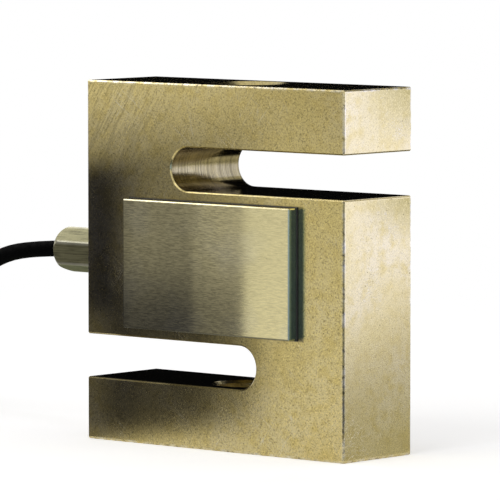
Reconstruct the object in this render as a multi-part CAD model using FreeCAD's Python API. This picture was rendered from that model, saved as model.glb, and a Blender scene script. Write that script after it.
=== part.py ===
"""S-type load cell: a nickel-plated steel S-beam with bonded covers, strain gauges and a gland cable.

Millimetres. X runs along the width, +X to the open side of the upper slot; the cable leaves towards -X.
Y is the depth, the front face looks towards -Y. Z is up, along the load axis.
The origin is where the load axis meets the bottom face.
"""
import FreeCAD, Part
import math
import os

V = FreeCAD.Vector
X, Y, Z = V(1, 0, 0), V(0, 1, 0), V(0, 0, 1)

# S-beam block
block_width = 93.2
block_depth = 28.5
block_height = 100.0
slot_width = 12.0
arm_thickness = 17.4
closed_end = 31.3            # steel left at the closed end of each slot
edge_chamfer = 0.4

# load threads M20 x 1.5, cut through both arms on the load axis
load_thread_minor_d = 18.376
load_mouth_d = 22.6
load_mouth_depth = 1.2
slot_mouth_depth = 0.8       # the same thread's mouth inside the slot

# gauge pockets, one in each broad face, with the shear web between them
pocket_width = 50.0
pocket_height = 25.6
pocket_corner_r = 8.0
web_thickness = 5.0
window_width = 8.0           # opening through the web for the wires
window_height = 12.0

# covers and the sealant under them
cover_width = 60.4
cover_height = 35.6
cover_thickness = 3.1
cover_edge_chamfer = 0.3
spigot_depth = 1.5           # step behind the cover that drops into the pocket
spigot_clearance = 0.25
seal_thickness = 0.4
seal_bead = 0.3              # sealant pressed out beyond the cover's edge
seal_bead_slope = 0.15

# cable gland: a hexagon gland screw over a rubber bush between two washers
gland_height = 51.1          # height of the cable's axis above the bottom face
gland_thread_minor_r = 4.5   # M10 x 1
gland_thread_clearance = 0.04
gland_mouth_chamfer = 0.5
gland_shank_length = 7.0
gland_hex_corner_r = 6.5
gland_hex_turn = 8.0         # degrees that the hexagon has stopped past corner-up
gland_head_length = 22.2
gland_dome_r = 4.0
gland_end_r = 4.2            # flat end face left outside the dome
gland_bore_clearance = 0.2
gland_lip = 0.5
washer_thickness = 0.8
washer_clearance = 0.15
bush_length = 5.4
bush_clearance = 0.05
passage_r = 3.2              # drilled from the bush seat to the wire window

# cable
cable_d = 4.6
cable_grip_clearance = 0.02
jacket_inner_reach = 2.6     # jacket showing past the bush seat

# strain gauges: two crossed grids on one film, one film on each side of the web
film_width = 13.0
film_height = 9.0
film_thickness = 0.12
foil_thickness = 0.08
grid_strand = 0.4
grid_gap = 0.4
grid_strands = 5
grid_length = 3.6
grid_turn = 45.0             # degrees from the load axis to the strands
grid_offset = 2.7            # grid's centre to the gauge's centre
bus_width = 0.5
tab_width = 1.6
tab_height = 1.2
tab_pitch = 2.4

# terminal board
board_width = 8.0
board_height = 21.0
board_thickness = 0.8
board_gap = 1.2              # board to gauge film
pad_size = 1.5
pad_thickness = 0.1
pad_pitch = 2.5
pad_rows = 8
column_pitch = 4.6
solder_foot_r = 0.62
solder_top_r = 0.46
solder_height = 0.45
resistor_length = 1.6
resistor_width = 0.8
resistor_height = 0.5
resistor_rows = (1, 4, 6)

# wires inside the block
core_r = 0.42
core_spread = 0.85           # core's axis to the cable's axis, across and up
core_bend_r = 1.4
near_layer = 2.0             # wire's axis above the pads
far_layer = 3.4
gauge_wire_r = 0.18
gauge_wire_rise = 1.2
gauge_wire_bend_r = 0.6
gauge_rows = (2, 4, 5)       # pad rows that the front gauge's wires reach
rear_rows = (0, 1, 7)        # and the rear gauge's
rear_wire_window = (-4.6, -3.3, 4.0)   # their heights in the window, from the cable's axis
rear_wire_shift = 1.5        # their place in the window, from its middle

# free end of the cable: the tied hank and the stripped leads
hank_fold_r = 13.8           # inner turn of the hank, on the cable's axis
hank_tracks = 3              # turns side by side
hank_layers = 6              # turns on top of each other
hank_straight = 24.7
hank_slack = 0.2             # wound turns stand this far off each other's line, outside
hank_edge_r = 2.0
hank_reach = 65.2            # gland's outer end to the hank, along X
hank_mid_y = -8.0
tie_width = 9.0
tie_thickness = 0.8
tie_corner_r = 2.4
entry_reach = 16.0           # straight cable between the free run and the hank's fold
entry_lead = 11.2            # before it, where the cable comes level over the floor
exit_reach = 37.0            # straight cable between the hank's fold and the stripped end
lead_length = 18.0
lead_r = 0.5
lead_straight = 3.5          # before a lead bends down
lead_fall = 7.0              # along which it comes down to the floor
lead_ring_r = 1.3
lead_fan = 3.0               # distance between the leads' far ends
lead_fan_shift = 3.6         # middle of the fan to the cable's axis
tip_length = 6.0
tip_r = 0.3
drain_r = 0.35
lead_bend_r = 6.0

# worked out from the sizes above
half_w = block_width / 2
half_d = block_depth / 2
slot_r = slot_width / 2
slot_centre_x = -half_w + closed_end + slot_r
slot_low_z = block_height - arm_thickness - slot_width
mid_z = block_height / 2
web_face = web_thickness / 2
foil_face = web_face + film_thickness + foil_thickness
window_x = -pocket_width / 2 + window_width / 2
cable_r = cable_d / 2
gland_x = -half_w
gland_end_x = gland_x - gland_head_length
shank_end_x = gland_x + gland_shank_length
bush_start_x = shank_end_x + washer_thickness
bush_end_x = bush_start_x + bush_length
seat_x = bush_end_x + washer_thickness
jacket_end_x = seat_x + jacket_inner_reach
board_mid_x = -film_width / 2 - board_gap - board_width / 2
board_face = web_face + board_thickness
pad_face = board_face + pad_thickness
solder_face = pad_face + solder_height
cable_column_x = board_mid_x - column_pitch / 2
gauge_column_x = board_mid_x + column_pitch / 2
tab_x = -film_width / 2 + tab_width
hank_track_r = hank_fold_r + (hank_tracks - 1) * cable_d
hank_outer = hank_track_r + cable_r + hank_slack
hank_inner = hank_fold_r - cable_r - hank_slack
hank_height = hank_layers * cable_d + 2 * hank_slack
hank_near_x = gland_end_x - hank_reach
hank_near_fold_x = hank_near_x - hank_outer
hank_mid_x = hank_near_fold_x - hank_straight / 2
hank_top_track_z = tie_thickness + hank_height - hank_slack - cable_r
hank_low_track_z = tie_thickness + hank_slack + cable_r
entry_x = hank_near_fold_x + entry_reach
entry_y = hank_mid_y + hank_track_r
tail_y = hank_mid_y - hank_track_r
tail_end_x = hank_near_fold_x + exit_reach

# the free cable from the gland to the hank; the points between are chosen by hand
cable_route = [
    (gland_end_x, 0.0, gland_height),
    (gland_end_x - 11.4, 0.0, gland_height),
    (gland_end_x - 24.0, 0.5, gland_height - 2.8),
    (gland_end_x - 35.0, 2.4, gland_height - 8.0),
    (gland_end_x - 44.3, 6.7, gland_height - 14.7),
    (gland_end_x - 53.0, 11.8, gland_height - 21.7),
    (entry_x + entry_lead, entry_y, hank_top_track_z),
    (entry_x, entry_y, hank_top_track_z),
]


def box(x0, x1, y0, y1, z0, z1):
    """Box between two corners, whose values come in any order on each axis."""
    low = V(min(x0, x1), min(y0, y1), min(z0, z1))
    return Part.makeBox(abs(x1 - x0), abs(y1 - y0), abs(z1 - z0), low)


def rod(start, end, radius):
    """Round bar from one point to another."""
    along = V(*end) - V(*start)
    return Part.makeCylinder(radius, along.Length, V(*start), along)


def ring(start, end, outer_r, inner_r):
    """Round sleeve from one point to another."""
    return rod(start, end, outer_r).cut(rod(start, end, inner_r))


def prism(points, along):
    """Straight prism over a closed outline of corner points."""
    outline = Part.makePolygon([V(*p) for p in points] + [V(*points[0])])
    return Part.Face(outline).extrude(along)


def rounded_slab(mid_x, mid_z_, width, height, corner_r, y0, y1):
    """Slab across the depth, its four corners rounded about Y."""
    slab = box(mid_x - width / 2, mid_x + width / 2, y0, y1, mid_z_ - height / 2, mid_z_ + height / 2)
    return slab.makeFillet(corner_r, edges_along(slab, Y))


def edges_along(shape, axis):
    """Straight edges of a shape that run along an axis."""
    found = []
    for edge in shape.Edges:
        if len(edge.Vertexes) == 2 and isinstance(edge.Curve, Part.Line):
            if abs(abs(edge.tangentAt(edge.FirstParameter).dot(axis)) - 1) < 1e-6:
                found.append(edge)
    return found


def stadium(mid_x, mid_y, straight, radius, z0, z1):
    """Slab with two parallel sides along X and two round ends, standing on Z."""
    side = straight / 2
    left, right = mid_x - side, mid_x + side
    low, high = mid_y - radius, mid_y + radius
    outline = Part.Wire([
        Part.LineSegment(V(left, low, z0), V(right, low, z0)).toShape(),
        Part.Arc(V(right, low, z0), V(right + radius, mid_y, z0), V(right, high, z0)).toShape(),
        Part.LineSegment(V(right, high, z0), V(left, high, z0)).toShape(),
        Part.Arc(V(left, high, z0), V(left - radius, mid_y, z0), V(left, low, z0)).toShape(),
    ])
    return Part.Face(outline).extrude(V(0, 0, z1 - z0))


def bent_path(points, wanted_r=None):
    """Straight runs joined by tangent arcs, with the arcs' radii.

    An arc takes up to 0.45 of the shorter run beside it; wanted_r asks for a smaller one.
    """
    corners = [V(*p) for p in points]
    edges, radii = [], []
    start = corners[0]
    for before, corner, after in zip(corners, corners[1:], corners[2:]):
        back, ahead = before - corner, after - corner
        half_turn = (math.pi - back.getAngle(ahead)) / 2
        reach = 0.45 * min(back.Length, ahead.Length)
        radius = reach / math.tan(half_turn)
        if wanted_r is not None and wanted_r < radius:
            radius = wanted_r
            reach = radius * math.tan(half_turn)
        back.normalize()
        ahead.normalize()
        first, last = corner + back * reach, corner + ahead * reach
        inward = back + ahead
        inward.normalize()
        middle = corner + inward * (radius / math.cos(half_turn) - radius)
        edges.append(Part.LineSegment(start, first).toShape())
        edges.append(Part.Arc(first, middle, last).toShape())
        radii.append(radius)
        start = last
    edges.append(Part.LineSegment(start, corners[-1]).toShape())
    return Part.Wire(edges), radii


def bent_rod(points, radius, wanted_r=None):
    """Round wire or cable along a bent path, with the path's length and its arcs' radii."""
    path, radii = bent_path(points, wanted_r)
    start = V(*points[0])
    section = Part.Wire(Part.Circle(start, V(*points[1]) - start, radius).toShape())
    return path.makePipeShell([section], True, False), path.Length, radii


def mirrored(shape):
    """The same piece on the rear side of the block."""
    return shape.mirror(V(0, 0, 0), Y)


def s_outline():
    """Closed front outline of the S: the upper slot opens to +X, the lower one to -X."""
    high_z, low_z = block_height - arm_thickness, slot_low_z
    y = -half_d

    def half(turn):
        """One corner, one slot and the way on to the opposite corner."""
        def at(x, z):
            return V(x, y, z) if turn > 0 else V(-x, y, block_height - z)

        slot_mid_z = (high_z + low_z) / 2
        return [
            Part.LineSegment(at(half_w, low_z), at(slot_centre_x, low_z)).toShape(),
            Part.Arc(at(slot_centre_x, low_z), at(slot_centre_x - slot_r, slot_mid_z),
                     at(slot_centre_x, high_z)).toShape(),
            Part.LineSegment(at(slot_centre_x, high_z), at(half_w, high_z)).toShape(),
            Part.LineSegment(at(half_w, high_z), at(half_w, block_height)).toShape(),
            Part.LineSegment(at(half_w, block_height), at(-half_w, block_height)).toShape(),
            Part.LineSegment(at(-half_w, block_height), at(-half_w, block_height - low_z)).toShape(),
        ]

    return Part.Wire(half(1) + half(-1))


def load_thread(face_z, slot_z):
    """Cutter for a load thread between an outer face and the slot behind it."""
    bore_r, mouth_r = load_thread_minor_d / 2, load_mouth_d / 2
    out = 1 if face_z > slot_z else -1
    bore = rod((0, 0, slot_z - out), (0, 0, face_z + out), bore_r)
    outer = Part.makeCone(mouth_r, bore_r, load_mouth_depth, V(0, 0, face_z), Z * -out)
    inner_r = bore_r + slot_mouth_depth
    inner = Part.makeCone(inner_r, bore_r, slot_mouth_depth, V(0, 0, slot_z), Z * out)
    return bore.fuse([outer, inner])


def s_block():
    """The one-piece machined spring body."""
    block = Part.Face(s_outline()).extrude(V(0, block_depth, 0))
    arc_ends = (slot_centre_x, -slot_centre_x)
    sharp = []
    for edge in block.Edges:
        point = edge.valueAt((edge.FirstParameter + edge.LastParameter) / 2)
        across = abs(point.y) < half_d - 0.01
        if not (across and min(abs(point.x - x) for x in arc_ends) < 0.01):
            sharp.append(edge)
    block = block.makeChamfer(edge_chamfer, sharp)

    for face_z, slot_z in ((block_height, block_height - arm_thickness), (0, arm_thickness)):
        block = block.cut(load_thread(face_z, slot_z))

    pocket = rounded_slab(0, mid_z, pocket_width, pocket_height, pocket_corner_r, -half_d - 1, -web_face)
    block = block.cut(pocket).cut(mirrored(pocket))
    window = rounded_slab(window_x, gland_height, window_width, window_height,
                          window_width / 2 - 0.01, -half_d, half_d)
    block = block.cut(window.common(box(-half_w, half_w, -web_face - 1, web_face + 1, 0, block_height)))

    axis_start = (gland_x - 1, 0, gland_height)
    thread = rod(axis_start, (seat_x, 0, gland_height), gland_thread_minor_r)
    mouth = Part.makeCone(gland_thread_minor_r + gland_mouth_chamfer, gland_thread_minor_r,
                          gland_mouth_chamfer, V(gland_x, 0, gland_height), X)
    passage = rod(axis_start, (window_x, 0, gland_height), passage_r)
    return block.cut(thread.fuse([mouth, passage]))


def front_cover():
    """Cover plate with the step that locates it in the pocket."""
    back = -half_d - seal_thickness
    plate = box(-cover_width / 2, cover_width / 2, back, back - cover_thickness,
                mid_z - cover_height / 2, mid_z + cover_height / 2)
    outer = [e for e in plate.Edges if e.BoundBox.YMin < back - cover_thickness / 2]
    plate = plate.makeChamfer(cover_edge_chamfer, outer)
    spigot = rounded_slab(0, mid_z, pocket_width - 2 * spigot_clearance, pocket_height - 2 * spigot_clearance,
                          pocket_corner_r - spigot_clearance, back, -half_d + spigot_depth)
    return plate.fuse(spigot).removeSplitter()


def front_cover_seal():
    """Frame of sealant under the cover, with the bead pressed out round its edge."""
    width, height = cover_width + 2 * seal_bead, cover_height + 2 * seal_bead
    sheet = box(-width / 2, width / 2, -half_d, -half_d - seal_thickness, mid_z - height / 2, mid_z + height / 2)
    outer = [e for e in sheet.Edges if e.BoundBox.YMax < -half_d - seal_thickness / 2]
    sheet = sheet.makeChamfer(seal_bead_slope, outer)
    opening = rounded_slab(0, mid_z, pocket_width, pocket_height, pocket_corner_r,
                           -half_d - 2 * seal_thickness, -half_d + 1)
    return sheet.cut(opening)


def front_gauge_film():
    """Carrier film bonded to the middle of the web."""
    return box(-film_width / 2, film_width / 2, -web_face, -web_face - film_thickness,
               mid_z - film_height / 2, mid_z + film_height / 2)


def gauge_grid(mid_x, turn):
    """One grid: parallel strands joined at alternate ends, turned off the load axis."""
    pitch = grid_strand + grid_gap
    low_y, high_y = -web_face - film_thickness, -foil_face
    half_length = grid_length / 2
    first_x = -(grid_strands - 1) * pitch / 2
    pieces = []
    for i in range(grid_strands):
        x = first_x + i * pitch
        pieces.append(box(x - grid_strand / 2, x + grid_strand / 2, low_y, high_y, -half_length, half_length))
        if i < grid_strands - 1:
            end = half_length if i % 2 else -half_length
            inner = end - math.copysign(grid_strand, end)
            pieces.append(box(x - grid_strand / 2, x + pitch + grid_strand / 2, low_y, high_y, end, inner))
    grid = pieces[0].fuse(pieces[1:])
    grid.rotate(V(0, 0, 0), Y, turn)
    grid.translate(V(mid_x, 0, mid_z))
    return grid


def front_gauge_foil():
    """Two crossed grids, the bus between them and the three solder tabs, cut from one foil."""
    low_y, high_y = -web_face - film_thickness, -foil_face
    grids = [gauge_grid(grid_offset * side + tab_width / 2, grid_turn * side) for side in (-1, 1)]
    bus_z = mid_z - film_height / 2 + bus_width
    right_x = grid_offset + tab_width / 2
    pieces = [box(tab_x - bus_width, right_x, low_y, high_y, bus_z, bus_z + bus_width)]
    pieces.append(box(tab_x - bus_width, right_x, low_y, high_y,
                      2 * mid_z - bus_z, 2 * mid_z - bus_z - bus_width))
    for side in (-1, 1):
        mid_x = grid_offset * side + tab_width / 2
        pieces.append(box(mid_x - bus_width / 2, mid_x + bus_width / 2, low_y, high_y, bus_z, mid_z))
        pieces.append(box(mid_x - bus_width / 2, mid_x + bus_width / 2, low_y, high_y,
                          mid_z, 2 * mid_z - bus_z))
    pieces.append(box(tab_x - bus_width, tab_x, low_y, high_y, bus_z, 2 * mid_z - bus_z))
    for row in (-1, 0, 1):
        z = mid_z + row * tab_pitch
        pieces.append(box(tab_x - tab_width / 2 - bus_width, tab_x, low_y, high_y,
                          z - tab_height / 2, z + tab_height / 2))
    return grids[0].fuse(grids[1:] + pieces).removeSplitter()


def terminal_board():
    """Small circuit board bonded to the web between the wire window and the gauge."""
    return box(board_mid_x - board_width / 2, board_mid_x + board_width / 2, -web_face, -board_face,
               mid_z - board_height / 2, mid_z + board_height / 2)


def row_height(row):
    """Height of a row of pads."""
    return mid_z + (row - (pad_rows - 1) / 2) * pad_pitch


def terminal_pads():
    """Two columns of copper pads."""
    half = pad_size / 2
    return [box(x - half, x + half, -board_face, -pad_face, row_height(row) - half, row_height(row) + half)
            for x in (cable_column_x, gauge_column_x) for row in range(pad_rows)]


def trim_resistors():
    """Chip resistors that trim the bridge."""
    return [box(board_mid_x - resistor_width / 2, board_mid_x + resistor_width / 2,
                -board_face, -board_face - resistor_height,
                row_height(row) - resistor_length / 2, row_height(row) + resistor_length / 2)
            for row in resistor_rows]


def cores():
    """Each cable core: its colour, side and height in the jacket, layer over the board and pad row."""
    return [
        ("red", 1, 1, near_layer, 5),
        ("green", -1, 1, far_layer, 6),
        ("white", 1, -1, near_layer, 3),
        ("black", -1, -1, far_layer, 2),
    ]


def solder_joints():
    """A cone of solder on each pad that a wire reaches."""
    rows = [(cable_column_x, core[4]) for core in cores()]
    rows += [(cable_column_x, row) for row in rear_rows]
    rows += [(gauge_column_x, row) for row in gauge_rows]
    return [Part.makeCone(solder_foot_r, solder_top_r, solder_height, V(x, -pad_face, row_height(row)), -Y)
            for x, row in rows]


def core_wire(side, height, layer, row):
    """One insulated core from the jacket, through the window, to its pad."""
    y, z = side * core_spread, gland_height + height * core_spread
    x = window_x + y
    over_y = -pad_face - layer
    wire, _, _ = bent_rod([
        (jacket_end_x, y, z),
        (x, y, z),
        (x, over_y, z),
        (cable_column_x, over_y, row_height(row)),
        (cable_column_x, -solder_face, row_height(row)),
    ], core_r, core_bend_r)
    return wire


def front_gauge_wires():
    """Fine wires from the front gauge's tabs to the terminal board."""
    over_y = -foil_face - gauge_wire_rise
    wires = []
    for tab, row in zip((-1, 0, 1), gauge_rows):
        z = mid_z + tab * tab_pitch
        wire, _, _ = bent_rod([
            (tab_x - tab_width / 2, -foil_face, z),
            (tab_x - tab_width / 2, over_y - solder_face + foil_face, z),
            (gauge_column_x, over_y - solder_face + foil_face, row_height(row)),
            (gauge_column_x, -solder_face, row_height(row)),
        ], gauge_wire_r, gauge_wire_bend_r)
        wires.append(wire)
    return wires


def rear_gauge_wires():
    """Fine wires from the rear gauge's tabs, through the window, to the terminal board."""
    wires = []
    x = window_x + rear_wire_shift
    rear_y = foil_face + gauge_wire_rise
    front_y = -solder_face - gauge_wire_rise
    for tab, row, drop in zip((-1, 0, 1), rear_rows, rear_wire_window):
        z = mid_z + tab * tab_pitch
        wire, _, _ = bent_rod([
            (tab_x - tab_width / 2, foil_face, z),
            (tab_x - tab_width / 2, rear_y, z),
            (x, rear_y, gland_height + drop),
            (x, front_y, gland_height + drop),
            (cable_column_x, front_y, row_height(row)),
            (cable_column_x, -solder_face, row_height(row)),
        ], gauge_wire_r, gauge_wire_bend_r)
        wires.append(wire)
    return wires


def gland_screw():
    """Hexagon gland screw: a long head with a turned domed end, and the threaded shank."""
    corners = []
    for i in range(6):
        angle = math.radians(gland_hex_turn + 60 * i)
        corners.append((gland_x, -gland_hex_corner_r * math.sin(angle),
                        gland_height + gland_hex_corner_r * math.cos(angle)))
    head = prism(corners, V(-gland_head_length, 0, 0))

    core_height = gland_hex_corner_r - gland_dome_r
    dome_reach = math.sqrt(gland_dome_r ** 2 - (gland_end_r - core_height) ** 2)
    dome_x = gland_end_x + dome_reach
    mid_angle = math.atan2(gland_end_r - core_height, dome_reach) / 2 + math.pi / 4
    z = gland_height

    def at(x, r):
        return V(x, 0, z + r)

    turned = Part.Wire([
        Part.LineSegment(at(gland_x, 0), at(gland_x, gland_hex_corner_r)).toShape(),
        Part.LineSegment(at(gland_x, gland_hex_corner_r), at(dome_x, gland_hex_corner_r)).toShape(),
        Part.Arc(at(dome_x, gland_hex_corner_r),
                 at(dome_x - gland_dome_r * math.cos(mid_angle), core_height + gland_dome_r * math.sin(mid_angle)),
                 at(gland_end_x, gland_end_r)).toShape(),
        Part.LineSegment(at(gland_end_x, gland_end_r), at(gland_end_x, 0)).toShape(),
        Part.LineSegment(at(gland_end_x, 0), at(gland_x, 0)).toShape(),
    ])
    head = head.common(Part.Face(turned).revolve(V(0, 0, z), X, 360))

    shank = rod((gland_x - 1, 0, z), (shank_end_x, 0, z), gland_thread_minor_r - gland_thread_clearance)
    bore_r = cable_r + gland_bore_clearance
    bore = rod((gland_end_x - 1, 0, z), (shank_end_x + 1, 0, z), bore_r)
    lip = Part.makeCone(bore_r + gland_lip, bore_r, gland_lip, V(gland_end_x, 0, z), X)
    return head.fuse(shank).cut(bore.fuse(lip)).removeSplitter()


def gland_washers():
    """Steel washers before and behind the bush."""
    z = gland_height
    outer_r = gland_thread_minor_r - washer_clearance
    inner_r = cable_r + washer_clearance
    return [ring((x, 0, z), (x + washer_thickness, 0, z), outer_r, inner_r) for x in (shank_end_x, bush_end_x)]


def gland_bush():
    """Rubber bush squeezed onto the cable."""
    z = gland_height
    return ring((bush_start_x, 0, z), (bush_end_x, 0, z),
                gland_thread_minor_r - bush_clearance, cable_r + cable_grip_clearance)


def cable_tail():
    """The cable's jacket inside the gland."""
    return rod((gland_end_x, 0, gland_height), (jacket_end_x, 0, gland_height), cable_r)


def cable_cord():
    """The free cable between the gland and the hank."""
    tube, length, radii = bent_rod(cable_route, cable_r)
    section = math.pi * cable_r ** 2
    print("cable_cord radii", [round(r, 1) for r in radii], "shortest allowed", 5 * cable_d)
    print("cable_cord length %.2f, volume %.1f, section times length %.1f" % (length, tube.Volume, section * length))
    return tube


def cable_hank():
    """Outer shape of the tied hank, with the straight cable that enters it and leaves it."""
    low_z, high_z = tie_thickness, tie_thickness + hank_height
    hank = stadium(hank_mid_x, hank_mid_y, hank_straight, hank_outer, low_z, high_z)
    rims = [e for e in hank.Edges if e.BoundBox.ZLength < 0.01]
    hank = hank.makeFillet(hank_edge_r, rims)
    hank = hank.cut(stadium(hank_mid_x, hank_mid_y, hank_straight, hank_inner, low_z - 1, high_z + 1))
    entry = rod((entry_x, entry_y, hank_top_track_z), (hank_near_fold_x + 1, entry_y, hank_top_track_z), cable_r)
    leaving = rod((hank_near_fold_x + 1, tail_y, hank_low_track_z), (tail_end_x, tail_y, hank_low_track_z), cable_r)
    return hank.fuse([entry, leaving])


def hank_tie():
    """Flat strap round both sides of the hank."""
    x0, x1 = hank_mid_x - tie_width / 2, hank_mid_x + tie_width / 2
    inner = box(x0, x1, hank_mid_y - hank_outer, hank_mid_y + hank_outer,
                tie_thickness, tie_thickness + hank_height)
    outer = box(x0, x1, hank_mid_y - hank_outer - tie_thickness, hank_mid_y + hank_outer + tie_thickness,
                0, 2 * tie_thickness + hank_height)
    outer = outer.makeFillet(tie_corner_r, edges_along(outer, X))
    inner = inner.makeFillet(tie_corner_r - tie_thickness, edges_along(inner, X))
    return outer.cut(inner)


def lead_route(place, far_x):
    """A stripped lead's points, from the jacket's end down to the floor; places run from -Y to +Y."""
    around = math.radians((162, 234, 90, 306, 18)[place])
    y = tail_y + lead_ring_r * math.cos(around)
    z = hank_low_track_z + lead_ring_r * math.sin(around)
    far_y = tail_y + lead_fan_shift + (place - 2) * lead_fan
    bend_x = tail_end_x + lead_straight
    down_x = bend_x + lead_fall
    down_y = y + (far_y - y) * lead_fall / (far_x - bend_x)
    return [(tail_end_x, y, z), (bend_x, y, z), (down_x, down_y, lead_r), (far_x, far_y, lead_r)]


def lead(place, radius, far_x):
    """One lead, from the jacket's end to where it lies on the floor."""
    wire, _, _ = bent_rod(lead_route(place, far_x), radius, lead_bend_r)
    return wire


def lead_tip(place):
    """Bare tinned end of a lead."""
    before, end = [V(*p) for p in lead_route(place, tail_end_x + lead_length)[-2:]]
    along = end - before
    along.normalize()
    return rod(tuple(end), tuple(end + along * tip_length), tip_r)


def group(solids):
    """Separate solids of one node."""
    return Part.makeCompound(solids)


def model():
    """Every node's name and shape."""
    cover, seal = front_cover(), front_cover_seal()
    film, foil = front_gauge_film(), front_gauge_foil()
    nodes = {
        "s_block": s_block(),
        "front_cover": cover,
        "rear_cover": mirrored(cover),
        "front_cover_seal": seal,
        "rear_cover_seal": mirrored(seal),
        "front_gauge_film": film,
        "rear_gauge_film": mirrored(film),
        "front_gauge_foil": foil,
        "rear_gauge_foil": mirrored(foil),
        "terminal_board": terminal_board(),
        "terminal_pads": group(terminal_pads()),
        "trim_resistors": group(trim_resistors()),
        "solder_joints": group(solder_joints()),
        "front_gauge_wires": group(front_gauge_wires()),
        "rear_gauge_wires": group(rear_gauge_wires()),
        "gland_screw": gland_screw(),
        "gland_washers": group(gland_washers()),
        "gland_bush": gland_bush(),
        "cable_tail": cable_tail(),
        "cable_cord": cable_cord(),
        "cable_hank": cable_hank(),
        "hank_tie": hank_tie(),
    }
    for colour, side, height, layer, row in cores():
        nodes["wire_" + colour] = core_wire(side, height, layer, row)
    far_x = tail_end_x + lead_length
    insulated = {0: "red", 1: "black", 3: "green", 4: "white"}
    for place, colour in insulated.items():
        nodes["lead_" + colour] = lead(place, lead_r, far_x)
    nodes["lead_tips"] = group([lead_tip(place) for place in insulated])
    nodes["drain_wire"] = lead(2, drain_r, far_x + tip_length)
    return nodes


def main():
    os.makedirs("parts", exist_ok=True)
    for name, shape in model().items():
        print("%-18s solids %d volume %10.2f valid %s" % (name, len(shape.Solids), shape.Volume, shape.isValid()))
        shape.exportStep("parts/%s.step" % name)


main()
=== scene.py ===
"""S-type load cell: nickel-plated steel S-beam with bonded covers and a gland cable, dressed for Blender 4.5.

Metres, in the solids' frame: X along the width, +X to the upper slot's open side, -Y to the front cover,
Z up the load axis, the origin where the load axis meets the bottom face.
"""

import math

import bpy
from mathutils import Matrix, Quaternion, Vector


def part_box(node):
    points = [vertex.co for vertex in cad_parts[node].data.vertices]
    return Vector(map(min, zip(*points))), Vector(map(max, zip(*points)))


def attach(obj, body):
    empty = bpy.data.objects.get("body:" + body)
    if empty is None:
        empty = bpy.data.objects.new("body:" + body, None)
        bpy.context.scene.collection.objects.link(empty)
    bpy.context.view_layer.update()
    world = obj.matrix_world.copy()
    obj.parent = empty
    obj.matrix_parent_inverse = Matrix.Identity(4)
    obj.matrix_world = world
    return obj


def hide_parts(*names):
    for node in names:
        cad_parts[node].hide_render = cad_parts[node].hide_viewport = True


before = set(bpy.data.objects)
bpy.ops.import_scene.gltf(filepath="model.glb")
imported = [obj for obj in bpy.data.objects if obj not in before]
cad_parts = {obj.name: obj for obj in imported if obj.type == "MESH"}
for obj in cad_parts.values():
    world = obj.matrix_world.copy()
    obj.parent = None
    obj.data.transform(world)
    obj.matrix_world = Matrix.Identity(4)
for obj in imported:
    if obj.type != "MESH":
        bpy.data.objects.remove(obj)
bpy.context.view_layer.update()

bl_info = {
    "name": "S-Beam Load Cell",
    "version": (1, 0, 0),
    "blender": (4, 5, 0),
    "location": "View3D > Sidebar > Load Cell",
    "description": "Dresses the solids of an S-beam load cell: plated steel, brushed covers, gland and cable",
    "category": "Object",
}

MM = 0.001

# the block, in millimetres: its outside from its solid, its slots and load threads as they were cut
half_width, half_depth, block_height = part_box("s_block")[1] / MM
slot_r = 6.0
slot_turn_x = 9.3            # centre of each slot's round end, from the load axis
slot_rise = 26.6             # each slot's middle, from the block's middle
load_thread_r = 9.188        # the bore that the thread's ridges stand in
load_thread_pitch = 1.5
load_thread_length = 15.4
load_thread_middles = (8.9, 91.1)

# the front cover's half width and its bottom edge
cover_half = -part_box("front_cover")[0].x / MM
cover_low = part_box("front_cover")[0].z / MM

# the cable
gland_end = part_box("cable_tail")[0].x
cable_z = 51.1 * MM

WHITE = (1.0, 1.0, 1.0)


def mixed(first, second, share):
    """Colour between two others."""
    return tuple(a + (b - a) * share for a, b in zip(first, second))


def scaled(colour, *shares):
    """Colour times one share, or times a share each for red, green and blue."""
    if len(shares) == 1:
        shares *= 3
    return tuple(c * share for c, share in zip(colour, shares))


def added(name, data):
    """A new object in the scene, from its mesh, curve, lamp or camera."""
    item = bpy.data.objects.new(name, data)
    bpy.context.collection.objects.link(item)
    return item


class Number:
    """A number socket of a node tree; arithmetic on it adds Math nodes."""

    def __init__(self, tree, socket):
        self.tree = tree
        self.socket = socket

    def maths(self, operation, *terms, clamp=False):
        node = self.tree.nodes.new("ShaderNodeMath")
        node.operation = operation
        node.use_clamp = clamp
        for slot, term in zip(node.inputs, terms):
            if isinstance(term, Number):
                self.tree.links.new(term.socket, slot)
            else:
                slot.default_value = term
        return Number(self.tree, node.outputs[0])

    def put(self, operation):
        """An operation on this number alone."""
        return self.maths(operation, self)

    def __add__(self, other):
        return self.maths("ADD", self, other)

    def __sub__(self, other):
        return self.maths("SUBTRACT", self, other)

    def __rsub__(self, other):
        return self.maths("SUBTRACT", other, self)

    def __mul__(self, other):
        return self.maths("MULTIPLY", self, other)

    def __truediv__(self, other):
        return self.maths("DIVIDE", self, other)

    def __rtruediv__(self, other):
        return self.maths("DIVIDE", other, self)

    __radd__ = __add__
    __rmul__ = __mul__

    def least(self, other):
        return self.maths("MINIMUM", self, other)

    def most(self, other):
        return self.maths("MAXIMUM", self, other)

    def size(self):
        return self.put("ABSOLUTE")

    def over(self, other):
        """Length of the right-angled pair."""
        return (self * self + other * other).put("SQRT")

    def ramp(self, low, high):
        """0 at low, 1 at high, straight between and held outside; low may be the larger."""
        scale = 1.0 / (high - low)
        return self.maths("MULTIPLY_ADD", self, scale, -low * scale, clamp=True)


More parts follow.
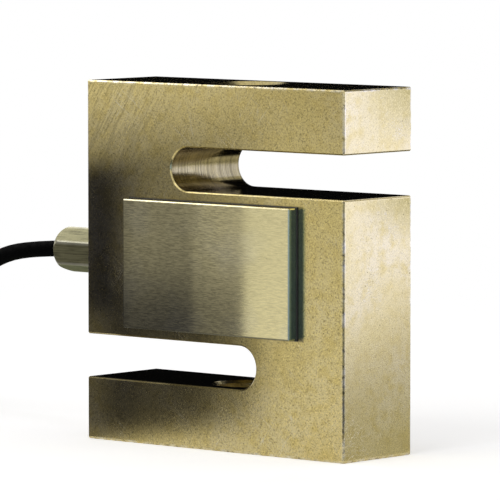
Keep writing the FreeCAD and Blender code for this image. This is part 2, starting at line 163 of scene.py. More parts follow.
class Nodes:
    """A node tree as it is made: one method adds its nodes."""

    def __init__(self, tree):
        self.tree = tree
        self.tree.nodes.clear()

    def node(self, kind, settings, sockets, out=0):
        """Adds a node: settings first, then the values or links of its sockets.

        Gives one output, by its number or name, or with out=None the whole node.
        """
        node = self.tree.nodes.new(kind)
        for name, value in settings.items():
            setattr(node, name, value)
        for name, value in sockets.items():
            self.feed(self._socket(node.inputs, name), value)
        return node if out is None else self._socket(node.outputs, out)

    @staticmethod
    def _socket(sockets, name):
        shown = [s for s in sockets if s.enabled]
        return shown[name] if isinstance(name, int) else next(s for s in shown if s.name == name)

    def feed(self, socket, value):
        """Links a value's socket, or sets a plain value."""
        if isinstance(value, Number):
            value = value.socket
        if isinstance(value, bpy.types.NodeSocket):
            self.tree.links.new(value, socket)
        elif socket.type == "RGBA":
            socket.default_value = (*value, 1.0)
        else:
            socket.default_value = value

    def numbers(self, node, *names):
        """A node's outputs as numbers: those named, or all."""
        outputs = [node.outputs[name] for name in names] if names else node.outputs
        return [Number(self.tree, out) for out in outputs]

    def joined(self, x, y, z):
        """Three numbers as a place."""
        return self.node("ShaderNodeCombineXYZ", {}, {"X": x, "Y": y, "Z": z})


class Finish(Nodes):
    """A material as it is made, ended by a Principled BSDF unless end() is given another shader."""

    def __init__(self, name, **steady):
        self.material = bpy.data.materials.new(name)
        self.material.use_nodes = True
        super().__init__(self.material.node_tree)
        steady = {socket.replace("_", " "): value for socket, value in steady.items()}
        self.shader = self.node("ShaderNodeBsdfPrincipled", {"distribution": "GGX"}, steady, out=None)
        self.output = self.node("ShaderNodeOutputMaterial", {}, {}, out=None)
        self.end(self.shader.outputs[0])
        self.coords = self.node("ShaderNodeTexCoord", {}, {}, out=None)
        self.place = self.node("ShaderNodeVectorMath", {"operation": "SCALE"},
                               {"Vector": self.coords.outputs["Object"], "Scale": 1 / MM})

    def end(self, shader):
        """Makes a shader the material's surface."""
        self.feed(self.output.inputs["Surface"], shader)

    def _parts(self, vector):
        return self.numbers(self.node("ShaderNodeSeparateXYZ", {}, {"Vector": vector}, out=None))

    def axes(self):
        """The place on the object, in millimetres, as three numbers."""
        return self._parts(self.place)

    def facing(self):
        """The surface's own direction, as three numbers."""
        return self._parts(self.coords.outputs["Normal"])

    def stretched(self, x, y, z, turn=(0.0, 0.0, 0.0)):
        """The place turned and each turned axis scaled, for grain that runs one way."""
        return self.node("ShaderNodeMapping", {"vector_type": "TEXTURE"},
                         {"Vector": self.place, "Scale": (1 / x, 1 / y, 1 / z), "Rotation": turn})

    def noise(self, scale, detail=2.0, place=None, roughness=0.5):
        """Noise from 0 to 1, scale in turns a millimetre."""
        out = self.node("ShaderNodeTexNoise", {}, {"Vector": self.place if place is None else place,
                                                   "Scale": scale, "Detail": detail, "Roughness": roughness})
        return Number(self.tree, out)

    def cells(self, scale):
        """Distance to the nearest of scattered points, in cells; scale in cells a millimetre."""
        return Number(self.tree, self.node("ShaderNodeTexVoronoi", {"feature": "F1"},
                                           {"Vector": self.place, "Scale": scale}, out="Distance"))

    def colour(self, first, second, share):
        """Colour mixed from first to second as share goes from 0 to 1."""
        return self.node("ShaderNodeMix", {"data_type": "RGBA", "clamp_factor": True},
                         {"Factor": share, "A": first, "B": second}, out="Result")

    def layered(self, colour, *layers):
        """Colour with others laid over it, each a pair of colour and share."""
        for other, share in layers:
            colour = self.colour(colour, other, share)
        return colour

    def surface(self, colour, roughness, height, depth):
        """Feeds the shader: colour, roughness, and relief of a depth given in millimetres."""
        self.feed(self.shader.inputs["Base Color"], colour)
        self.feed(self.shader.inputs["Roughness"], roughness)
        bump = self.node("ShaderNodeBump", {}, {"Height": height, "Distance": depth * MM, "Strength": 1.0})
        self.feed(self.shader.inputs["Normal"], bump)
        return self.material


def slot_gap(x, z):
    """Distance from the nearer slot's wall: below 0 in the slot, above 0 in the steel."""
    gaps = []
    for side in (1, -1):
        along = ((x * side) + slot_turn_x).least(0.0)
        up = z - (block_height / 2 + side * slot_rise)
        gaps.append(along.over(up) - slot_r)
    return gaps[0].least(gaps[1])


def edge_gap(x, y, z):
    """Distance to the block's nearest long edge: the middle one of the distances to its faces."""
    from_x, from_y = half_width - x.size(), half_depth - y.size()
    from_z = block_height / 2 - (z - block_height / 2).size()
    least, most = from_x.least(from_y), from_x.most(from_y)
    return least.most(most.least(from_z))


def old_scratches(finish):
    """Thin lines that run three ways over the broad faces, in patches."""
    lines = 0.0
    for turn, spread, width in ((0.62, 0.018, 0.009), (-0.95, 0.015, 0.007), (1.30, 0.02, 0.006)):
        run = finish.noise(1.0, 1.0, finish.stretched(spread, 0.3, 0.75, (0.0, turn, 0.0)))
        lines = (run - 0.5).size().ramp(width, 0.0) + lines
    return (lines * finish.noise(0.06, 2.0).ramp(0.50, 0.66)).least(1.0)


def painted_cover_shade(x, z, facing_y):
    """Painted shade on the broad faces beside the covers, darkest close to them: widest past the +X end."""
    past_end = x.size() - cover_half - (x - cover_half).ramp(-0.5, 0.1) * 1.5
    past_side = (z - block_height / 2).size() - (block_height / 2 - cover_low) + 0.35
    return past_end.most(past_side).ramp(1.0, 0.4) * facing_y.size().ramp(0.9, 0.95)


def plated_steel(settings):
    """Ground steel under bright nickel: fine grain, pits, old scratches, cutter lines in the slots, painted
    shade in the slots and beside the covers.
    """
    finish = Finish("plated_steel", Metallic=1.0)
    x, y, z = finish.axes()
    facing_x, facing_y, facing_z = finish.facing()
    in_slot = slot_gap(x, z).ramp(0.12, 0.04)
    in_bore = (x.over(y) - load_thread_r).ramp(0.5, 0.2)
    flat = 1.0 - in_slot.most(in_bore)
    end_face = facing_x.ramp(0.9, 0.97)

    edge = edge_gap(x, y, z)
    worn = edge.ramp(0.9, 0.2) * finish.noise(0.35, 3.0).ramp(0.42, 0.66)
    nicks = edge.ramp(0.7, 0.35) * finish.noise(1.3, 2.0).ramp(0.56, 0.62)
    grain = finish.noise(2.15, 3.0, roughness=0.68)
    specks = finish.noise(2.7, 1.0, finish.stretched(1.0, 1.0, 1.0, (0.4, 0.7, 0.3)))
    blotches = finish.noise(0.3, 3.0)
    clouds = finish.noise(0.045, 3.0)
    pits = finish.cells(0.62).ramp(0.13, 0.05) * finish.noise(0.21, 1.0).ramp(0.42, 0.6)
    scratch = old_scratches(finish)
    # slanting grinding lines, over the upper arm's closed end alone
    ground = finish.noise(1.0, 2.0, finish.stretched(0.14, 0.6, 2.0, (0.0, -1.0, 0.0)))
    ground_here = x.ramp(-4.0, -34.0) * z.ramp(66.0, 88.0)
    # the slots' walls: lines of the cutter's teeth and of its feed, and painted shade in the slots that
    # deepens toward the back
    cutter = finish.noise(1.0, 3.0, finish.stretched(0.02, 3.4, 0.02))
    feed = finish.noise(1.0, 2.0, finish.stretched(0.05, 0.9, 0.05))
    slot_shade_and_cutter_lines = cutter.ramp(0.40, 0.62) * 0.38 + y.ramp(-4.0, 12.0) * 0.12 + 0.48
    # the end face darker and yellower in patches under its top edge and under the upper slot's edge
    below_top = z.ramp(84.0, 99.0) + z.ramp(58.0, 69.0) * z.ramp(70.0, 69.9)
    end_face_darker = below_top * y.ramp(-10.0, 14.0) * end_face

    steel = settings.steel
    dark, pale = scaled(steel, 0.42), scaled(steel, 1.36)
    tone = finish.layered(
        steel,
        (mixed(steel, (0.62, 0.56, 0.40), 0.35), clouds.ramp(0.35, 0.7)),
        (scaled(steel, 0.95, 0.93, 0.87), blotches.ramp(0.45, 0.7)),
        # end face darker and yellower near its top and below the upper slot
        ((0.30, 0.24, 0.07), end_face_darker * (0.8 + clouds * 0.5)),
        (dark, grain.ramp(0.50, 0.32) * (0.92 - end_face * 0.42)),
        (pale, specks.ramp(0.50, 0.70) * (0.75 - end_face * 0.35)),
        # painted shade beside the covers
        ((0.05, 0.047, 0.038), painted_cover_shade(x, z, facing_y) * 0.8),
        ((0.07, 0.055, 0.03), nicks * 0.8),
        (dark, ground.ramp(0.50, 0.36) * ground_here * 0.42),
        (pale, ground.ramp(0.52, 0.66) * ground_here * 0.35),
        ((0.10, 0.085, 0.05), pits * 0.8),
        ((0.72, 0.69, 0.58), (scratch * 0.34 + worn * 0.7) * flat),
        # painted shade in the slots, with the cutter's lines in it
        ((0.14, 0.112, 0.045), in_slot * slot_shade_and_cutter_lines),
    )
    roughness = 0.15 + clouds * 0.05 + grain * 0.10 + pits * 0.2 - worn * 0.08 - in_slot * 0.05
    roughness = (roughness + scratch * 0.05) * (1.0 - facing_z.ramp(0.95, 0.99) * 0.5)
    height = (grain * 0.45 + specks * 0.25 - pits * 1.2 - scratch * 0.6) * flat
    height = height + in_slot * (cutter * 2.2 + feed * 1.6)
    return finish.surface(tone, roughness, height, 0.016)


def cover_steel(settings):
    """Stainless sheet brushed along the cover's length, with painted shade along its lowest and its -X edges
    and on its +X side face.
    """
    finish = Finish("cover_steel", Metallic=1.0, Anisotropic=0.97, Anisotropic_Rotation=0.25)
    x, _, z = finish.axes()
    brushed = finish.noise(1.0, 2.0, finish.stretched(0.6, 2.0, 5.4), roughness=0.6)
    broad = finish.noise(1.0, 2.0, finish.stretched(0.05, 0.5, 0.9))
    clouds = finish.noise(0.06, 2.0)
    nicks = finish.cells(0.45).ramp(0.07, 0.03)
    painted_edge_shade = (z - cover_low).ramp(0.5, 0.25).most((x + cover_half).ramp(0.55, 0.3))
    painted_side_shade = finish.facing()[0].ramp(0.5, 0.9)
    streak = x.ramp(16.0, 4.0) * 0.34 + 0.28
    tone = finish.layered(
        settings.cover,
        ((0.55, 0.53, 0.44), clouds.ramp(0.5, 0.75) * 0.35),
        (scaled(settings.cover, 0.50), brushed.ramp(0.50, 0.35) * streak),
        (scaled(settings.cover, 1.40), brushed.ramp(0.50, 0.65) * streak),
        ((0.12, 0.11, 0.08), nicks * 0.6),
        # painted shade along the cover's lowest and -X edges
        ((0.10, 0.10, 0.07), painted_edge_shade * 0.85),
        # painted shade: the +X side face tinted pale grey-green
        ((0.50, 0.62, 0.48), painted_side_shade * 0.9),
    )
    roughness = 0.15 + brushed * 0.05 + broad * 0.03 + nicks * 0.2
    return finish.surface(tone, roughness, brushed * 0.8 + broad * 0.3 - nicks, 0.004)


def gland_steel(settings):
    """Nickel-plated hexagon gland: drawn along its flats, painted highlights along its corners, one old cut.
    """
    finish = Finish("gland_steel", Metallic=1.0)
    x, y, z = finish.axes()
    _, facing_y, facing_z = finish.facing()
    turned = finish.noise(1.0, 3.0, finish.joined(x * 0.12, y * 2.6, z * 2.6))
    clouds = finish.noise(0.18, 2.0)
    # painted highlight along the hexagon's corners
    corner = y.over(z - cable_z / MM).ramp(6.1, 6.4)
    # the cut runs slantwise along the lower front flat
    cut = (z + x * 0.16 - 37.5 + clouds * 0.4).size().ramp(0.22, 0.08)
    cut = cut * facing_z.ramp(-0.2, -0.4) * facing_y.ramp(-0.2, -0.4) * x.ramp(-60.5, -58.5)
    tone = finish.layered(
        settings.gland,
        (scaled(settings.gland, 0.50), turned.ramp(0.54, 0.40) * 0.85),
        (scaled(settings.gland, 1.3), clouds.ramp(0.5, 0.75) * 0.5),
        ((0.78, 0.74, 0.55), corner * (0.35 + clouds * 0.7)),
        ((0.05, 0.05, 0.035), cut * 0.85),
    )
    return finish.surface(tone, 0.20 + turned * 0.14 + clouds * 0.06, turned - cut, 0.012)


def plain_metal(name, colour, shade, roughness, grain=1.5):
    """Small inner metal part: fine uneven grain."""
    finish = Finish(name, Metallic=1.0)
    fine = finish.noise(grain, 3.0)
    tone = finish.colour(colour, shade, fine.ramp(0.38, 0.64))
    return finish.surface(tone, roughness + fine * 0.14, fine, 0.01)


def moulded(name, colour, shade, roughness, grain=1.2):
    """Plastic, rubber or sealant: soft mottling and a fine grain."""
    finish = Finish(name, Specular_IOR_Level=0.4)
    fine = finish.noise(grain * 2.5, 4.0)
    clouds = finish.noise(grain * 0.2, 2.0)
    tone = finish.colour(colour, shade, clouds.ramp(0.35, 0.65))
    return finish.surface(tone, roughness + fine * 0.16, fine + clouds * 0.5, 0.02)


def cable_jacket(settings):
    """Extruded jacket: dull black, with a fine grain and a little dust on top."""
    finish = Finish("jacket_black", Specular_IOR_Level=0.01)
    facing_z = finish.facing()[2]
    fine = finish.noise(1.6, 3.0)
    dust = finish.noise(0.5, 4.0).ramp(0.45, 0.75) * facing_z.ramp(0.1, 0.9)
    tone = finish.layered(
        settings.jacket,
        (scaled(settings.jacket, 1.7), fine.ramp(0.35, 0.65)),
        ((0.045, 0.043, 0.040), dust * 0.35),
    )
    return finish.surface(tone, 0.5 + fine * 0.14 + dust * 0.1, fine, 0.02)


def tie_strap():
    """Woven hook-and-loop strap."""
    finish = Finish("tie_black", Specular_IOR_Level=0.2, Sheen_Weight=0.25, Sheen_Roughness=0.5)
    rib = (finish.axes()[0] * 7.0).put("SINE")
    loops = finish.cells(1.9)
    tone = finish.colour((0.012, 0.012, 0.013), (0.04, 0.04, 0.042), loops.ramp(0.1, 0.6))
    return finish.surface(tone, 0.82 - loops * 0.1, loops * 0.7 + rib * 0.3, 0.12)


def print_board():
    """Glass-cloth board under green lacquer, its weave just showing."""
    finish = Finish("board_green", Coat_Weight=0.4, Coat_Roughness=0.2)
    x, _, z = finish.axes()
    weave = (x * 9.0).put("SINE") * (z * 9.0).put("SINE")
    clouds = finish.noise(0.4, 2.0)
    tone = finish.colour((0.012, 0.10, 0.035), (0.03, 0.17, 0.06), weave.ramp(-0.8, 0.8) * 0.6 + clouds * 0.3)
    return finish.surface(tone, 0.3 + clouds * 0.1, weave, 0.006)


def gauge_film():
    """Amber carrier film."""
    finish = Finish("gauge_film", Coat_Weight=0.6, Coat_Roughness=0.12)
    clouds = finish.noise(0.5, 3.0)
    tone = finish.colour((0.42, 0.16, 0.025), (0.56, 0.26, 0.05), clouds.ramp(0.35, 0.65))
    return finish.surface(tone, 0.28 + clouds * 0.15, clouds, 0.01)


def dress(node, material):
    """Gives a solid of the frame its finish, in its own material slots."""
    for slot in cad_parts[node].material_slots:
        slot.material = material


def colour_setting(name, description, default):
    return bpy.props.FloatVectorProperty(name=name, description=description, default=default,
                                         size=3, subtype="COLOR", min=0.0, max=1.0)


def length_setting(name, description, default):
    return bpy.props.FloatProperty(name=name, description=description, default=default,
                                   unit="LENGTH", min=0.0)


class LoadCellFinishes(bpy.types.PropertyGroup):
    """Colours of the load cell's finishes."""
    steel: colour_setting("Block", "Nickel plate of the S-beam block", (0.500, 0.405, 0.160))
    cover: colour_setting("Covers", "Brushed steel of the covers", (0.600, 0.530, 0.285))
    gland: colour_setting("Gland", "Nickel plate of the cable gland", (0.330, 0.305, 0.160))
    jacket: colour_setting("Cable", "Jacket of the cable", (0.0015, 0.0015, 0.0015))


class LoadCellSizes(bpy.types.PropertyGroup):
    """Sizes of what Blender adds to the solids."""
    cable_d: length_setting("Cable", "Diameter of the cable", 4.6 * MM)
    hank_fold_r: length_setting("Inner fold", "Radius of the hank's inner turn", 13.8 * MM)
    hank_straight: length_setting("Hank straight", "Length of the straight runs of the hank", 24.7 * MM)
    thread_depth: length_setting("Thread depth", "How far the threads' crests stand in the bore", 0.42 * MM)


class LOADCELL_OT_stage(bpy.types.Operator):
    """Floor, soft studio lights, dark flags that the steel mirrors, and the camera"""
    bl_idname = "loadcell.stage"
    bl_label = "Stage"

    def execute(self, context):
        for name in ("Cube", "Light", "Camera"):
            if name in bpy.data.objects:
                bpy.data.objects.remove(bpy.data.objects[name])
        scene = context.scene
        scene.view_settings.view_transform = "Standard"
        self.world(scene)
        self.floor()
        self.lights()
        self.flags()
        self.camera(scene)
        return {"FINISHED"}

    def world(self, scene):
        """Even pale room: white to the camera and to reflections, dimmer as light."""
        world = bpy.data.worlds.new("room")
        scene.world = world
        world.use_nodes = True
        tree = Nodes(world.node_tree)
        room = tree.node("ShaderNodeBackground", {}, {"Color": (1.0, 0.985, 0.96), "Strength": 0.55})
        white = tree.node("ShaderNodeBackground", {}, {"Color": WHITE, "Strength": 1.0})
        mix = tree.node("ShaderNodeMixShader", {}, {"Fac": self.seen(tree), 1: room, 2: white})
        tree.node("ShaderNodeOutputWorld", {}, {"Surface": mix}, out=None)

    def seen(self, tree):
        """1 for what the camera, a mirror or a glass shows, 0 for light."""
        path = tree.node("ShaderNodeLightPath", {}, {}, out=None)
        camera, glossy, glass = tree.numbers(path, "Is Camera Ray", "Is Glossy Ray", "Is Transmission Ray")
        return camera.most(glossy).most(glass)

    def floor(self):
        """Wide pale floor: lit and shadowed round the block, and plain white further out."""
        mesh = bpy.data.meshes.new("floor")
        half = 14.0
        corners = [(-half, -half, 0), (half, -half, 0), (half, half, 0), (-half, half, 0)]
        mesh.from_pydata(corners, [], [(0, 1, 2, 3)])
        floor = added("floor", mesh)
        finish = Finish("floor_white", Base_Color=(0.93, 0.93, 0.93), Roughness=0.9, Specular_IOR_Level=0.1)
        x, y, _ = finish.axes()
        far = x.over(y).ramp(170.0, 520.0)
        seen = self.seen(finish)
        lift = finish.node("ShaderNodeEmission", {}, {"Strength": seen * 0.42})
        lit = finish.node("ShaderNodeAddShader", {}, {0: finish.shader.outputs[0], 1: lift})
        white = finish.node("ShaderNodeEmission", {}, {})
        finish.end(finish.node("ShaderNodeMixShader", {}, {"Fac": far * seen, 1: lit, 2: white}))
        mesh.materials.append(finish.material)

    def lamp(self, name, place, target, size, glow, colour=WHITE, roll=0.0):
        """Soft oblong lamp that faces a point; glow 1 is white in a mirror."""
        light = bpy.data.lights.new(name, "AREA")
        light.shape = "RECTANGLE"
        light.size, light.size_y = size
        light.energy = glow * math.pi * size[0] * size[1]
        light.color = colour
        lamp = added(name, light)
        lamp.location = place
        facing = (Vector(place) - Vector(target)).to_track_quat("Z", "Y")
        lamp.rotation_euler = (facing @ Quaternion((0.0, 0.0, 1.0), roll)).to_euler()
        lamp.visible_camera = False
        return lamp

    def lights(self):
        """A key lamp up on the left, a fill behind the camera, and a cool side lamp that only metal shows."""
        middle = (0.0, 0.0, block_height / 2 * MM)
        self.lamp("key", (-0.72, -0.13, 0.74), middle, (0.26, 0.26), 3.2, (0.94, 0.97, 1.18))
        self.lamp("fill", (-0.1, -1.5, 1.6), middle, (1.6, 1.0), 1.6)
        side = self.lamp("side", (0.2500, 0.0868, 0.1243), (0.0466, -0.1466, 0.1243), (0.5, 0.3), 1.1,
                         (0.76, 0.88, 1.95), math.radians(40))
        side.visible_diffuse = False

    def glow(self, name, dim, bright=None, share=None):
        """A board's finish that shines by itself: one colour, or from dim to bright by its place."""
        finish = Finish(name, Roughness=0.9)
        colour = finish.colour(dim, bright, share(*finish.axes())) if share else dim
        finish.end(finish.node("ShaderNodeEmission", {}, {"Color": colour}))
        return finish

    @staticmethod
    def near_shade(x, y, z):
        """The near board: black on its left, greyer to its right and above, dim beside the gland."""
        high = z.ramp(36.0, 50.0)
        low = 1.0 - high
        across = x.ramp(-56.8, -48.5) * (high * 0.22 + 0.08) - x.ramp(-50.0, -43.0) * low * 0.03
        across = across + x.ramp(-36.6, -35.6) * (high * 0.03 + 0.12)
        across = across + x.ramp(-36.0, -26.0) * (high * 0.13 + 0.01)
        low_left = x.ramp(-55.0, -60.0) * z.ramp(36.0, 30.0) * 0.12
        foot = x.ramp(-38.0, -27.0) * z.ramp(7.0, 1.0) * 0.7
        top = z.ramp(72.5, 79.0) * 0.45 + z.ramp(79.0, 97.0) * 0.55
        by_gland = x.ramp(-62.0, -66.0) * 0.24
        return (across + low_left).most(foot).most(top).most(by_gland)

    @staticmethod
    def far_shade(x, y, z):
        """The far board: dimmer towards its top right corner."""
        return 1.0 - z.ramp(45.0, 95.0) * x.ramp(-165.0, -110.0)

    @staticmethod
    def dusk_shade(x, y, z):
        """The right board: cool on its left, grey from there on."""
        return x.ramp(160.0, 182.0)

    @staticmethod
    def left_floor_shade(x, y, z):
        """The floor before the block: dim on its left, white from the middle on."""
        return x.ramp(-48.0, -18.0)

    def boards(self):
        """Each board's name, finish and corners: those that stand, the one above, then those that lie."""
        black = Finish("flag_black", Base_Color=(0.004, 0.004, 0.004), Roughness=0.9, Specular_IOR_Level=0.0)
        near = self.glow("flag_shaded", (0.004, 0.007, 0.035), WHITE, self.near_shade)
        dusk = self.glow("flag_dusk", (0.44, 0.68, 1.35), (0.42, 0.42, 0.45), self.dusk_shade)
        far = self.glow("flag_paler", (0.32, 0.29, 0.22), (1.02, 1.03, 1.03), self.far_shade)
        left_floor = self.glow("flag_left_floor", (0.26, 0.26, 0.28), WHITE, self.left_floor_shade)
        gland_floor = self.glow("flag_gland_floor", (0.27, 0.29, 0.205))
        back_floor = self.glow("flag_back_floor", (0.66, 0.67, 0.62))
        near_left, near_right = (-0.0895, -0.0070), (-0.0254, -0.0628)
        right_near, right_far = (0.060, -0.240), (0.260, -0.060)
        back_left, back_right = (-0.44, 0.30), (0.04, 0.70)

        for name, finish, (start, end), top in (
                ("flag_front", near, (near_left, near_right), 0.108),
                ("flag_right", dusk, (right_near, right_far), 0.078),
                ("flag_far", far, ((-0.2440, -0.1230), (-0.0640, -0.2810)), 0.120),
                ("flag_back", black, (back_left, back_right), 0.62)):
            yield name, finish, [(*start, 0.0), (*end, 0.0), (*end, top), (*start, top)]

        above = 0.62
        yield "flag_over", black, [(-0.2665, 0.4576, above), (0.0124, 0.7009, above), (0.308, 0.362, above),
                                   (0.0068, 0.0988, above)]

        off_floor = 0.0005
        for name, finish, corners in (
                ("flag_under", black, [(-0.50, 0.23), (-0.046, 0.017), (0.046, 0.017), back_right]),
                ("flag_left_foot", left_floor, [near_left, near_right, (0.0300, -0.0150),
                                                (-0.0460, -0.0150)]),
                ("flag_gland_foot", gland_floor, [(-0.0600, 0.0050), (-0.0600, 0.0500), (-0.1700, 0.0900),
                                                  (-0.1700, 0.0050)]),
                ("flag_right_foot", black, [(0.0500, -0.0400), right_near, right_far]),
                ("flag_back_foot", back_floor, [(0.0480, 0.0140), (0.0480, -0.0300), (0.3300, 0.2000),
                                                (0.2000, 0.3500)])):
            yield name, finish, [(*corner, off_floor) for corner in corners]

    def flags(self):
        """Boards round the block that only reflections see, dark or dim."""
        for name, finish, corners in self.boards():
            mesh = bpy.data.meshes.new(name)
            mesh.from_pydata(corners, [], [tuple(range(len(corners)))])
            mesh.materials.append(finish.material)
            board = added(name, mesh)
            board.visible_camera = False
            board.visible_diffuse = False
            board.visible_shadow = False

    def camera(self, scene):
        """Long lens at the block's front right corner, a little above it."""
        azimuth, elevation = math.radians(41.1), math.radians(4.49)
        distance, aside, above = 1.467, 0.00075, 0.00418
        back = Vector((math.sin(azimuth) * math.cos(elevation), -math.cos(azimuth) * math.cos(elevation),
                       math.sin(elevation)))
        right = Vector((math.cos(azimuth), math.sin(azimuth), 0.0))
        up = back.cross(right)
        data = bpy.data.cameras.new("camera")
        data.lens = 384.9
        data.sensor_width = 36.0
        data.clip_start, data.clip_end = 0.1, 40.0
        camera = added("camera", data)
        middle = Vector((0.0, 0.0, block_height / 2 * MM))
        camera.location = middle + back * distance + right * aside + up * above
        camera.rotation_euler = (math.pi / 2 - elevation, 0.0, azimuth)
        scene.camera = camera


class LOADCELL_OT_cable(bpy.types.Operator):
    """The free cable: out of the gland, down to the floor and into its tied hank"""
    bl_idname = "loadcell.cable"
    bl_label = "Cable"

    def execute(self, context):
        sizes, finishes = context.scene.load_cell_sizes, context.scene.load_cell_finishes
        route = [
            (gland_end, 0.0, cable_z),
            (-0.0802, 0.0, 0.0505),
            (-0.0928, 0.0005, 0.0483),
            (-0.1038, 0.0024, 0.0431),
            (-0.1131, 0.0067, 0.0364),
            (-0.1218, 0.0118, 0.0294),
            (-0.1323, 0.0150, 0.0263),
            (-0.1435, 0.0150, 0.0263),
        ]
        route += self.hank(sizes)
        line = bpy.data.curves.new("cable", "CURVE")
        line.dimensions = "3D"
        line.bevel_depth = sizes.cable_d / 2
        line.bevel_resolution = 5
        line.resolution_u = 4
        line.use_fill_caps = True
        spline = line.splines.new("NURBS")
        spline.points.add(len(route) - 1)
        for point, place in zip(spline.points, route):
            point.co = (*place, 1.0)
        spline.order_u = 3
        spline.use_endpoint_u = True
        line.materials.append(cable_jacket(finishes))
        cable = added("cable", line)
        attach(cable, "root")
        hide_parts("cable_cord", "cable_hank")
        return {"FINISHED"}

    def hank(self, sizes):
        """Control points of the hank's turns, layer on layer, from the top's outer turn to the bottom's."""
        pitch = sizes.cable_d
        tracks, layers = 3, 6
        side = sizes.hank_straight / 2
        top_z = 0.0263
        near_x, mid_y = -0.1595, -0.0080
        far_x = near_x - 2 * side
        # a fold's five control points on a half turn, their reach that of the turn's corners
        arc = [math.radians(turn) for turn in (22.5, 67.5, 112.5, 157.5)]
        reach = 1.0 / math.cos(math.radians(22.5))
        track_order = []
        for layer in range(layers):
            across = range(tracks - 1, -1, -1) if layer % 2 == 0 else range(tracks)
            track_order += [(layer, track) for track in across]
        points = []
        for index, (layer, track) in enumerate(track_order):
            z = top_z - layer * pitch
            following = track_order[index + 1] if index + 1 < len(track_order) else None
            r = sizes.hank_fold_r + track * pitch
            if index == 0:
                points.append((near_x, mid_y + r, z))
            points.append((near_x - side, mid_y + r, z))
            points.append((far_x, mid_y + r, z))
            for turn in arc:
                points.append((far_x - r * math.sin(turn) * reach, mid_y + r * math.cos(turn) * reach, z))
            points.append((far_x, mid_y - r, z))
            points.append((near_x - side, mid_y - r, z))
            points.append((near_x, mid_y - r, z))
            if following is None:
                points += [(tail_x, mid_y - r, z) for tail_x in (-0.1400, -0.1225)]
                break
            next_layer, next_track = following
            next_r = sizes.hank_fold_r + next_track * pitch
            next_z = top_z - next_layer * pitch
            for turn in arc:
                share = turn / math.pi
                here_r = r + (next_r - r) * share
                points.append((near_x + here_r * math.sin(turn) * reach,
                               mid_y - here_r * math.cos(turn) * reach, z + (next_z - z) * share))
            points.append((near_x, mid_y + next_r, next_z))
        return points


class LOADCELL_OT_threads(bpy.types.Operator):
    """Helical thread ridges in the two load bores"""
    bl_idname = "loadcell.threads"
    bl_label = "Load threads"

    sides_a_turn = 60
    ring_points = 4

    def execute(self, context):
        sizes = context.scene.load_cell_sizes
        tree, sockets = self.ridge_tree()
        inputs = {"Bore radius": load_thread_r * MM, "Depth": sizes.thread_depth,
                  "Pitch": load_thread_pitch * MM, "Length": load_thread_length * MM,
                  "Material": bpy.data.materials["plated_steel"]}
        for name, middle in zip(("load_thread_low", "load_thread_high"), load_thread_middles):
            holder = added(name + "_nodes", bpy.data.meshes.new(name + "_start"))
            modifier = holder.modifiers.new("ridge", "NODES")
            modifier.node_group = tree
            for socket, value in inputs.items():
                modifier[sockets[socket]] = value
            modifier[sockets["Middle"]] = middle * MM
            context.view_layer.update()
            made = holder.evaluated_get(context.evaluated_depsgraph_get())
            mesh = bpy.data.meshes.new_from_object(made)
            bpy.data.objects.remove(holder)
            if not mesh.polygons:
                raise RuntimeError("no thread was made in " + name)
            thread = added(name, mesh)
            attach(thread, "root")
        return {"FINISHED"}

    def ridge_tree(self):
        """A strip of closed triangular section wound up the bore, its ends run out to nothing."""
        group = bpy.data.node_groups.new("thread_ridge", "GeometryNodeTree")
        sockets = {}
        for name in ("Bore radius", "Depth", "Pitch", "Length", "Middle", "Material"):
            kind = "NodeSocketMaterial" if name == "Material" else "NodeSocketFloat"
            sockets[name] = group.interface.new_socket(name, in_out="INPUT", socket_type=kind).identifier
        group.interface.new_socket("Geometry", in_out="OUTPUT", socket_type="NodeSocketGeometry")
        tree = Nodes(group)
        given = tree.node("NodeGroupInput", {}, {}, out=None)
        length, pitch = tree.numbers(given, "Length", "Pitch")
        turns = length / pitch
        rings = (turns * float(self.sides_a_turn)).put("ROUND") + 1.0

        strip = tree.node("GeometryNodeMeshGrid", {}, {"Vertices X": rings, "Vertices Y": self.ring_points})
        wound = tree.node("GeometryNodeSetPosition", {}, {
            "Geometry": strip, "Position": self.wound_place(tree, given, turns, rings)})
        welded = tree.node("GeometryNodeMergeByDistance", {}, {"Geometry": wound, "Distance": 0.001 * MM})
        plain = tree.node("GeometryNodeRealizeInstances", {}, {"Geometry": welded})
        dressed = tree.node("GeometryNodeSetMaterial", {}, {
            "Geometry": plain, "Material": given.outputs["Material"]})
        tree.node("NodeGroupOutput", {}, {"Geometry": dressed}, out=None)
        return group, sockets

    def wound_place(self, tree, given, turns, rings):
        """Where each point of the strip goes: foot, crest and foot of its ring, and the first foot again."""
        radius, depth, pitch, length, middle = tree.numbers(
            given, "Bore radius", "Depth", "Pitch", "Length", "Middle")
        foot_in_wall, foot_width = 0.06 * MM, 0.94
        index, = tree.numbers(tree.node("GeometryNodeInputIndex", {}, {}, out=None))
        ring = (index / float(self.ring_points) + 0.01).put("FLOOR")
        corner = index - ring * float(self.ring_points)
        crest = 1.0 - (corner - 1.0).size().least(1.0)
        upper = 1.0 - (corner - 2.0).size().least(1.0)
        share = ring / (rings - 1.0)
        runout = (share.least(1.0 - share) * turns * 1.5).least(1.0)
        turn = share * turns * (2.0 * math.pi)
        reach = radius + foot_in_wall - (depth + foot_in_wall) * crest * runout
        rise = pitch * (upper * foot_width + crest * (foot_width / 2) - foot_width / 2)
        up = middle + (share - 0.5) * (length - pitch) + rise
        return tree.joined(reach * turn.put("COSINE"), reach * turn.put("SINE"), up)


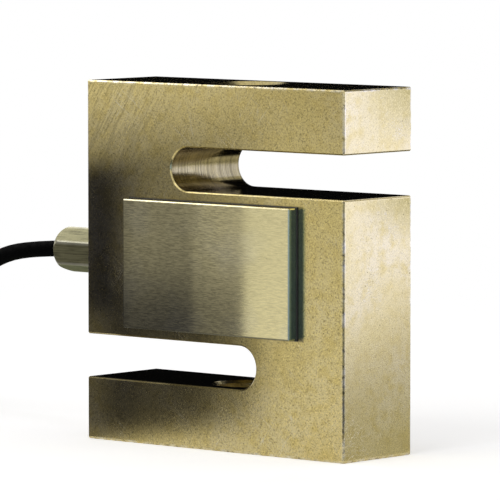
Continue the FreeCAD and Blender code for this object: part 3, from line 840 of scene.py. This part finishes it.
class LOADCELL_OT_solids(bpy.types.Operator):
    """Finishes for the solids that stay as they are"""
    bl_idname = "loadcell.solids"
    bl_label = "Solids"

    def execute(self, context):
        finishes = context.scene.load_cell_finishes
        dressed = {
            plated_steel(finishes): ("s_block",),
            cover_steel(finishes): ("front_cover", "rear_cover"),
            gland_steel(finishes): ("gland_screw",),
            plain_metal("washer_steel", (0.58, 0.56, 0.52), (0.45, 0.43, 0.40), 0.3): ("gland_washers",),
            moulded("sealant", (0.020, 0.019, 0.016), (0.032, 0.030, 0.026), 0.5, 0.8): (
                "front_cover_seal", "rear_cover_seal"),
            moulded("bush_rubber", (0.012, 0.012, 0.012), (0.022, 0.021, 0.020), 0.62, 1.0): ("gland_bush",),
            gauge_film(): ("front_gauge_film", "rear_gauge_film"),
            plain_metal("gauge_foil", (0.60, 0.50, 0.40), (0.48, 0.38, 0.29), 0.3, 4.0): (
                "front_gauge_foil", "rear_gauge_foil"),
            print_board(): ("terminal_board",),
            plain_metal("copper", (0.75, 0.33, 0.16), (0.55, 0.20, 0.09), 0.28): (
                "terminal_pads", "front_gauge_wires", "rear_gauge_wires"),
            plain_metal("solder", (0.68, 0.68, 0.70), (0.50, 0.50, 0.52), 0.25): (
                "solder_joints", "lead_tips", "drain_wire"),
            moulded("chip", (0.015, 0.015, 0.016), (0.03, 0.03, 0.03), 0.4, 2.0): ("trim_resistors",),
            bpy.data.materials.get("jacket_black") or cable_jacket(finishes): ("cable_tail",),
            tie_strap(): ("hank_tie",),
        }
        for colour, tone, shade in (
                ("red", (0.42, 0.012, 0.010), (0.55, 0.025, 0.018)),
                ("green", (0.010, 0.20, 0.045), (0.018, 0.28, 0.07)),
                ("white", (0.72, 0.72, 0.69), (0.80, 0.80, 0.78)),
                ("black", (0.010, 0.010, 0.010), (0.02, 0.02, 0.02))):
            dressed[moulded("core_" + colour, tone, shade, 0.35)] = ("wire_" + colour, "lead_" + colour)
        for material, nodes in dressed.items():
            for node in nodes:
                dress(node, material)
        return {"FINISHED"}


class LOADCELL_PT_panel(bpy.types.Panel):
    """The load cell's settings and steps"""
    bl_idname = "LOADCELL_PT_panel"
    bl_label = "S-Beam Load Cell"
    bl_space_type = "VIEW_3D"
    bl_region_type = "UI"
    bl_category = "Load Cell"

    def draw(self, context):
        for group in (context.scene.load_cell_finishes, context.scene.load_cell_sizes):
            for name in group.__annotations__:
                self.layout.prop(group, name)
        for step in STEPS:
            self.layout.operator(step.bl_idname)


STEPS = (LOADCELL_OT_stage, LOADCELL_OT_cable, LOADCELL_OT_solids, LOADCELL_OT_threads)
CLASSES = (LoadCellFinishes, LoadCellSizes, *STEPS, LOADCELL_PT_panel)


def register():
    for item in CLASSES:
        bpy.utils.register_class(item)
    bpy.types.Scene.load_cell_finishes = bpy.props.PointerProperty(type=LoadCellFinishes)
    bpy.types.Scene.load_cell_sizes = bpy.props.PointerProperty(type=LoadCellSizes)


def unregister():
    del bpy.types.Scene.load_cell_finishes
    del bpy.types.Scene.load_cell_sizes
    for item in reversed(CLASSES):
        bpy.utils.unregister_class(item)


def main():
    register()
    bpy.ops.loadcell.stage()
    bpy.ops.loadcell.cable()
    bpy.ops.loadcell.solids()
    bpy.ops.loadcell.threads()


if __name__ == "__main__":
    main()
